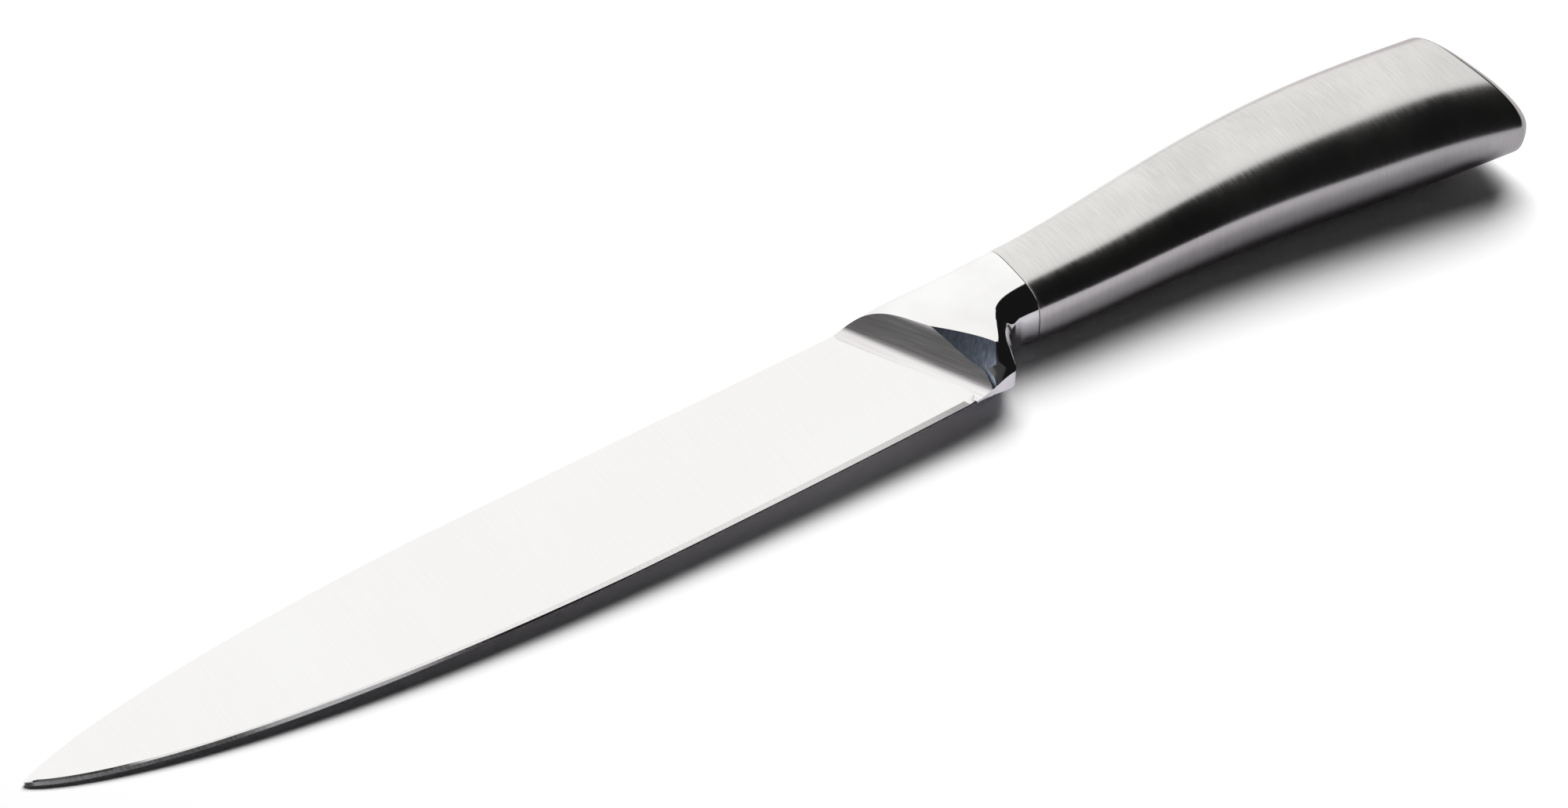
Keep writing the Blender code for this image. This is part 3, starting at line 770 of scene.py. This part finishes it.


# %% [markdown]
# ## Steel finishes
#
# All finishes are the same metal with different marks, except for two painted reflections: the flank's
# blue tint and the honed strip's dark tint stand in for the dark room that these faces mirror. Each gets a
# fine noise that is stretched along the direction of its grinding: it moves the roughness a little, tilts
# the surface a little through a bump, and shifts the colour between two tints. The patterns are procedural,
# on object coordinates, so they stay put on the steel from any side and at any resolution. Painted
# scratches would blur in a close view.

# %% Node helpers
def node(tree, kind, inputs=None, **settings):
    """Add a node, set its options, and link or set its inputs."""
    made = tree.nodes.new(kind)
    for key, value in settings.items():
        setattr(made, key, value)
    for socket, value in (inputs or {}).items():
        if isinstance(value, bpy.types.NodeSocket):
            tree.links.new(value, made.inputs[socket])
        else:
            made.inputs[socket].default_value = value
    return made


def math_node(tree, operation, first, second=0.0, third=0.0):
    return node(tree, "ShaderNodeMath", {0: first, 1: second, 2: third}, operation=operation).outputs[0]


def blend(tree, factor, first, second):
    """Mix two colours."""
    return node(tree, "ShaderNodeMix", {0: factor, 6: first, 7: second}, data_type="RGBA").outputs[2]


def mix_levels(tree, factor, first, second):
    """Mix two plain numbers."""
    return node(tree, "ShaderNodeMix", {0: factor, 2: first, 3: second}, data_type="FLOAT").outputs[0]


def ranged(tree, value, low, high, to_low, to_high, smooth=False):
    """Carry a value over from one range to another."""
    kind = "SMOOTHSTEP" if smooth else "LINEAR"
    return node(tree, "ShaderNodeMapRange", {0: value, 1: low, 2: high, 3: to_low, 4: to_high},
                interpolation_type=kind).outputs[0]


def grain(tree, turn, scale, detail=3.0):
    """Noise on object coordinates, turned about z and then stretched by three scales."""
    place = node(tree, "ShaderNodeTexCoord").outputs["Object"]
    turned = node(tree, "ShaderNodeMapping", {"Vector": place, "Rotation": (0, 0, math.radians(turn))})
    mapped = node(tree, "ShaderNodeMapping", {"Vector": turned.outputs[0], "Scale": scale})
    return node(tree, "ShaderNodeTexNoise", {"Vector": mapped.outputs[0], "Scale": 1.0, "Detail": detail,
                                             "Roughness": 0.55}).outputs[0]


# %% A steel with grinding marks
TINT_RANGE, ROUGH_RANGE = (0.35, 0.65), (0.3, 0.7)    # the noise's values that the two ends stand for


def ground_steel(name, dark, light, rough, lines, turn=0.0, bump=0.1, depth=1e-5, cloud=30.0):
    """A bare steel between two tints and two roughnesses, with marks of the given scales."""
    steel = bpy.data.materials.new(name)
    steel.use_nodes = True
    tree = steel.node_tree
    shader = tree.nodes["Principled BSDF"]
    marks = grain(tree, turn, lines)
    clouds = grain(tree, 0, (cloud, cloud, cloud), 2.0)
    mixed = math_node(tree, "MULTIPLY", math_node(tree, "ADD", marks, clouds), 0.5)
    tint = blend(tree, ranged(tree, mixed, *TINT_RANGE, 0, 1), (*dark, 1), (*light, 1))
    tree.links.new(tint, shader.inputs["Base Color"])
    tree.links.new(ranged(tree, mixed, *ROUGH_RANGE, *rough), shader.inputs["Roughness"])
    shader.inputs["Metallic"].default_value = 1.0
    tilt = node(tree, "ShaderNodeBump", {"Strength": bump, "Distance": depth, "Height": marks})
    tree.links.new(tilt.outputs[0], shader.inputs["Normal"])
    return steel


# %% The finishes of this knife
BLADE_STEEL = ground_steel("blade_ground", (0.905, 0.895, 0.88), (0.935, 0.93, 0.92), (0.10, 0.16),
                           (2600, 90, 90), bump=0.05, cloud=22.0)
EDGE_STEEL = ground_steel("edge_honed", (0.72, 0.71, 0.70), (0.88, 0.87, 0.86), (0.10, 0.20),
                          (3000, 300, 300), bump=0.2)
# painted reflection: the honed strip's dark tint stands in for the dark room that the strip mirrors towards the
# tip
STRIP_DARK_REFLECTION_STEEL = ground_steel("strip_honed_dark_reflection", (0.34, 0.34, 0.35), (0.52, 0.52, 0.53), (0.08, 0.16),
                           (3000, 300, 300), bump=0.2)
MIRROR_STEEL = ground_steel("bolster_polished", (0.85, 0.84, 0.835), (0.97, 0.965, 0.96), (0.02, 0.05),
                            (60, 60, 60), bump=0.02, cloud=80.0)
RAMP_STEEL = ground_steel("ramp_ground", (0.76, 0.73, 0.73), (0.95, 0.93, 0.93), (0.05, 0.13),
                          (3000, 90, 600), turn=-RAMP_SLANT, bump=0.25)
# painted reflection: the flank's blue tint stands in for a bluish dark room that the facet mirrors; its grinding
# marks are the belt's own
FLANK_BLUE_REFLECTION_STEEL = ground_steel("flank_ground_blue_reflection", (0.22, 0.27, 0.36), (0.46, 0.53, 0.66), (0.08, 0.20),
                           (2600, 260, 900), turn=40, bump=0.25)
HANDLE_STEEL = ground_steel("handle_brushed", (0.66, 0.645, 0.63), (0.80, 0.785, 0.765), (0.16, 0.26),
                            (2600, 200, 200), bump=0.3, cloud=60.0)
WEIGHT_STEEL = ground_steel("raw_slug", (0.22, 0.21, 0.20), (0.34, 0.33, 0.32), (0.45, 0.7),
                            (900, 900, 900), bump=0.4, depth=5e-5)
print("steel finishes:", [steel.name for steel in bpy.data.materials])

# %% [markdown]
# ## One forging
#
# The bolster is ground first, cut by cut, and then joined to the blade, as the two are one piece of steel.
# Setting one into the other would look alike, but a real union leaves no faces inside. Before that, the
# blade's faces are told apart by how far they lie above the edge: honed strip, bevel or side.

# %% Grind the bolster
bolster.data.materials.append(MIRROR_STEEL)
combine(bolster, front_cutter(), "DIFFERENCE")
for side in (1, -1):
    for cutter, steel in ((ramp_cutter(side), RAMP_STEEL), (flank_cutter(side), FLANK_BLUE_REFLECTION_STEEL)):
        cutter.data.materials.append(steel)
        combine(bolster, cutter, "DIFFERENCE")
finger = finger_cutter()
finger.data.materials.append(MIRROR_STEEL)
combine(bolster, finger, "DIFFERENCE")
report(bolster)

# %% Tell side, bevel and strip apart
BLADE_FINISHES = (BLADE_STEEL, EDGE_STEEL, STRIP_DARK_REFLECTION_STEEL)
ON_LINE = 2e-5                  # a corner this close to a line counts as on it


def finish_number(face):
    """Number of a blade face's finish: 0 is the side, 1 the bevel, 2 the honed strip."""
    corners = [forging.data.vertices[i].co for i in face.vertices]
    above = [c.y - edge_height(c.x) for c in corners]
    bevels = [bevel_width(c.x, spine_height(c.x) - edge_height(c.x)) for c in corners]
    strips = [honed_strip(c.x, bevel)[0] for c, bevel in zip(corners, bevels)]
    if all(height < strip + ON_LINE for height, strip in zip(above, strips)):
        return 2
    return int(all(height < bevel + ON_LINE for height, bevel in zip(above, bevels)))


for steel in BLADE_FINISHES:
    forging.data.materials.append(steel)
for face in forging.data.polygons:
    face.material_index = finish_number(face)
print("faces of side, bevel and strip:",
      [sum(face.material_index == i for face in forging.data.polygons) for i in range(len(BLADE_FINISHES))])

# %% Weld the bolster to the blade
combine(forging, bolster, "UNION")
report(forging)
print("finishes on the forging:", [m.name for m in forging.data.materials])

# %% [markdown]
# ## Shading and laying down
#
# A mirror shows the shading normals more than the faces. Smooth shading averages them over every edge that
# isn't marked sharp, which would bend the reflections at a crest between two cuts. Splitting the mesh there
# would do, but it would leave loose rims. So the edges past an angle are marked sharp, and with them every
# edge between two finishes. Then the mesh is laid on the table, and the piece takes the place of the
# measured model's own pieces.

# %% Shade, lay down and hand over to the frame
SHARP_ANGLE = 24.0


def crisp_crests(mesh):
    """Shade each finish by itself, so that the line where two cuts meet stays crisp."""
    bm = bmesh.new()
    bm.from_mesh(mesh)
    crests = [e for e in bm.edges if len({f.material_index for f in e.link_faces}) > 1]
    for edge in crests:
        edge.smooth = False
    bm.to_mesh(mesh)
    bm.free()
    return len(crests)


def settle(piece, finish, slot, *nodes):
    """Shade a piece, lay it on the table, give it its steel, and let it stand for the model's nodes."""
    if finish:
        piece.data.materials.clear()
        piece.data.materials.append(finish)
    piece.data.shade_smooth()
    piece.data.set_sharp_from_angle(angle=math.radians(SHARP_ANGLE))
    print(f"{piece.name}: {crisp_crests(piece.data)} edges between two finishes")
    piece.data.transform(LAID_DOWN)
    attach(piece, "root")
    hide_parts(*nodes)
    report(piece)


settle(forging, None, "ground_steel", "blade")
settle(handle, HANDLE_STEEL, "handle_left_steel", "handle_shell_left", "handle_shell_right", "butt_cap")

# %% [markdown]
# ## The balance weight
#
# Inside the handle a slug of raw steel brings the balance back to the bolster. Nobody sees it in the
# closed knife, so the measured model's own piece is fine enough, and it only gets a rough finish.

# %% Give the slug its raw steel
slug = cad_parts["balance_weight"]
for place in slug.material_slots:
    place.material = WEIGHT_STEEL

# %% [markdown]
# ## The table
#
# A pale sheet lies under the knife. It has to do three jobs: be plain white in the picture, catch the soft
# shadow, and show up again in the lower half of the handle. Bare metal also mirrors what is in front of
# the table, so for reflections the sheet ends a hand's width in front of the knife, as a photographer's
# table does. What the steel mirrors of the sheet is painted shade: darker in front of the knife and
# towards the butt, as on a real sheet that the lamp lights unevenly.

# %% Tones of the sheet, and the painted shade in its reflections
SHEET_WHITE = (0.98, 0.98, 0.985, 1)
# painted shade that the steel mirrors of the sheet: in front of the knife and behind it, each towards the tip and
# at the butt
FRONT_MIRRORED_SHADE = ((0.60, 0.58, 0.63, 1), (0.40, 0.39, 0.42, 1))
BACK_MIRRORED_SHADE = ((0.82, 0.82, 0.82, 1), (0.50, 0.475, 0.48, 1))
FRONT_CHANGE, BACK_CHANGE = (0.04, 0.17), (0.13, 0.19)    # where along x the one tone becomes the other
BEHIND_CHANGE = (-0.02, 0.03)   # where along y front becomes back
TABLE_FRONT = -0.060            # where the sheet ends for the reflections
TABLE_FADE = 0.008
SHEET_HALF = 3.0
SHEET_DROP = 0.0002             # below the knife, so that no faces lie in one plane
print(f"the sheet ends {-1000 * TABLE_FRONT:.0f} mm in front of the knife for the reflections")


# %% White sheet
def sheet_material():
    paper = bpy.data.materials.new("white_sheet")
    paper.use_nodes = True
    tree = paper.node_tree
    tree.nodes.clear()
    rays = node(tree, "ShaderNodeLightPath").outputs
    place = node(tree, "ShaderNodeNewGeometry").outputs["Position"]
    x, y = node(tree, "ShaderNodeSeparateXYZ", {0: place}).outputs[:2]
    past_edge = ranged(tree, y, TABLE_FRONT + TABLE_FADE, TABLE_FRONT - TABLE_FADE, 0, 1, smooth=True)
    front = blend(tree, ranged(tree, x, *FRONT_CHANGE, 0, 1), *FRONT_MIRRORED_SHADE)
    back = blend(tree, ranged(tree, x, *BACK_CHANGE, 0, 1), *BACK_MIRRORED_SHADE)
    mirrored = blend(tree, ranged(tree, y, *BEHIND_CHANGE, 0, 1, smooth=True), front, back)
    # mirrored rays see the painted shade instead of the plain white
    tone = blend(tree, rays["Is Glossy Ray"], SHEET_WHITE, mirrored)
    white = node(tree, "ShaderNodeBsdfDiffuse", {"Color": tone}).outputs[0]
    gone = node(tree, "ShaderNodeBsdfTransparent").outputs[0]
    hide = math_node(tree, "MULTIPLY", past_edge, rays["Is Glossy Ray"])
    shown = node(tree, "ShaderNodeMixShader", {0: hide, 1: white, 2: gone}).outputs[0]
    node(tree, "ShaderNodeOutputMaterial", {"Surface": shown})
    return paper


def make_table():
    bm = bmesh.new()
    bmesh.ops.create_grid(bm, x_segments=1, y_segments=1, size=SHEET_HALF)
    bmesh.ops.translate(bm, verts=bm.verts, vec=(0, 0, -SHEET_DROP))
    sheet = as_object("table", bm)
    sheet.data.materials.append(sheet_material())
    sheet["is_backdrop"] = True
    return sheet


report(make_table())

# %% [markdown]
# ## The studio
#
# One large softbox hangs above and behind the knife, to the right. It throws the shadow towards the
# camera, and the knife's upper faces mirror it. The room in front is dark, which draws the black band along
# the handle, and a grey wall on the left lights the ramp. The softbox is a lamp for the table and a painted
# part of the world for the metal, so its front edge and its right end can be placed exactly.

# %% Soft light from above and behind
SOFTBOX_PLACE, SOFTBOX_SIZE, SOFTBOX_WATTS = (0.9, 1.0, 1.6), (1.7, 1.4), 73.0


def make_lamp(name, place, size, watts):
    """A rectangular area lamp that faces the origin and stays out of the reflections."""
    data = bpy.data.lights.new(name, "AREA")
    data.shape, data.size, data.size_y = "RECTANGLE", *size
    data.energy = watts
    lamp = bpy.data.objects.new(name, data)
    facing = (-Vector(place)).to_track_quat("-Z", "Y").to_matrix().to_4x4()
    lamp.matrix_world = Matrix.Translation(place) @ facing
    lamp.visible_glossy = False
    bpy.context.collection.objects.link(lamp)
    return lamp


softbox = make_lamp("softbox", SOFTBOX_PLACE, SOFTBOX_SIZE, SOFTBOX_WATTS)
print(f"{softbox.name} at {SOFTBOX_PLACE} m, {SOFTBOX_WATTS:.0f} W")

# %% Directions of the studio
# each is an axis in the knife's own frame, and the two leanings to it between which the level changes
SOFTBOX_FRONT = (Vector((-0.238, 0.942, -0.233)), (-0.02, 0.03))    # across the softbox's front edge
SOFTBOX_END = (Vector((1, 0, 0)), (0.80, 0.70))     # its right end
WALL_END = (Vector((1, 0, 0)), (0.16, -0.02))       # the left wall's end
WALL_HEIGHT = (Vector((0, 1, 0)), (-0.45, -0.12))   # the wall brightens on its way up
WALL_LEVELS = (0.035, 0.115)
ROOM_LEVEL = 0.008              # of the dark front
FILL_LEVEL = 0.016              # of the room's light on the table


def toward(tree, direction, change, low=0, high=1):
    """A level that goes from low to high between two leanings of a direction to an axis."""
    axis, limits = change
    turned = LAID_DOWN.to_3x3() @ axis
    leaning = node(tree, "ShaderNodeVectorMath", {0: direction, 1: turned}, operation="DOT_PRODUCT")
    return ranged(tree, leaning.outputs["Value"], *limits, low, high, smooth=True)


print("softbox edge in the knife's frame:", [round(v, 3) for v in SOFTBOX_FRONT[0]])


# %% What the steel mirrors
def make_world():
    """The studio for mirrored rays, a faint fill for the table, and plain white for the camera."""
    world = bpy.data.worlds.new("studio")
    bpy.context.scene.world = world
    world.use_nodes = True
    tree = world.node_tree
    tree.nodes.clear()
    rays = node(tree, "ShaderNodeLightPath").outputs
    direction = node(tree, "ShaderNodeTexCoord").outputs["Generated"]
    lit = math_node(tree, "MULTIPLY", toward(tree, direction, SOFTBOX_FRONT), toward(tree, direction, SOFTBOX_END))
    wall = toward(tree, direction, WALL_HEIGHT, *WALL_LEVELS)
    room = math_node(tree, "MULTIPLY_ADD", toward(tree, direction, WALL_END), wall, ROOM_LEVEL)
    mirrored = mix_levels(tree, lit, room, 1.0)
    level = mix_levels(tree, rays["Is Glossy Ray"], FILL_LEVEL, mirrored)
    level = mix_levels(tree, rays["Is Camera Ray"], level, 1.0)
    glow = node(tree, "ShaderNodeBackground", {"Color": (1, 1, 1, 1), "Strength": level}).outputs[0]
    node(tree, "ShaderNodeOutputWorld", {"Surface": glow})
    world.cycles.sampling_method = "NONE"
    return world


print("world:", make_world().name)

# %% [markdown]
# ## The camera
#
# The picture was taken from the side of the cutting edge, a little from the tip, with a long lens. The
# blade's flat sides fix the direction, and the run of the handle fixes the distance. So the camera is
# placed in the knife's own frame and then laid down with it.

# %% Camera
CAMERA_ELEVATION, CAMERA_AZIMUTH = 47.5, -33.4
CAMERA_DISTANCE = 1.4
CAMERA_TARGET = Vector((0.1692, 0.0021, 0.0))
CAMERA_LENS, CAMERA_SENSOR = 166.3, 36.0


def make_camera():
    elevation, azimuth = math.radians(CAMERA_ELEVATION), math.radians(CAMERA_AZIMUTH)
    back = Vector((math.sin(azimuth) * math.cos(elevation), -math.cos(azimuth) * math.cos(elevation),
                   math.sin(elevation)))
    right = Vector((0, 0, 1)).cross(back).normalized()
    turn = Matrix((right, back.cross(right), back)).transposed().to_4x4()
    data = bpy.data.cameras.new("photo_view")
    data.lens, data.sensor_width = CAMERA_LENS, CAMERA_SENSOR
    camera = bpy.data.objects.new("photo_view", data)
    camera.matrix_world = LAID_DOWN @ Matrix.Translation(CAMERA_TARGET + back * CAMERA_DISTANCE) @ turn
    bpy.context.collection.objects.link(camera)
    bpy.context.scene.camera = camera
    return camera


camera = make_camera()
bpy.context.scene.view_settings.view_transform = "Standard"
print("camera at", [round(v, 3) for v in camera.matrix_world.translation])

# %% [markdown]
# ## Compare the boxes
#
# The finer pieces have to fill the measured model's box. A look at both boxes side by side is the quickest
# way to see that nothing has grown, shrunk or slid.

# %% Compare the boxes and finish
look_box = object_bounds()
for name, (low, high) in (("model", model_box), ("look", look_box)):
    print(name, "box", [round(1000 * v, 2) for v in low], [round(1000 * v, 2) for v in high], "mm")
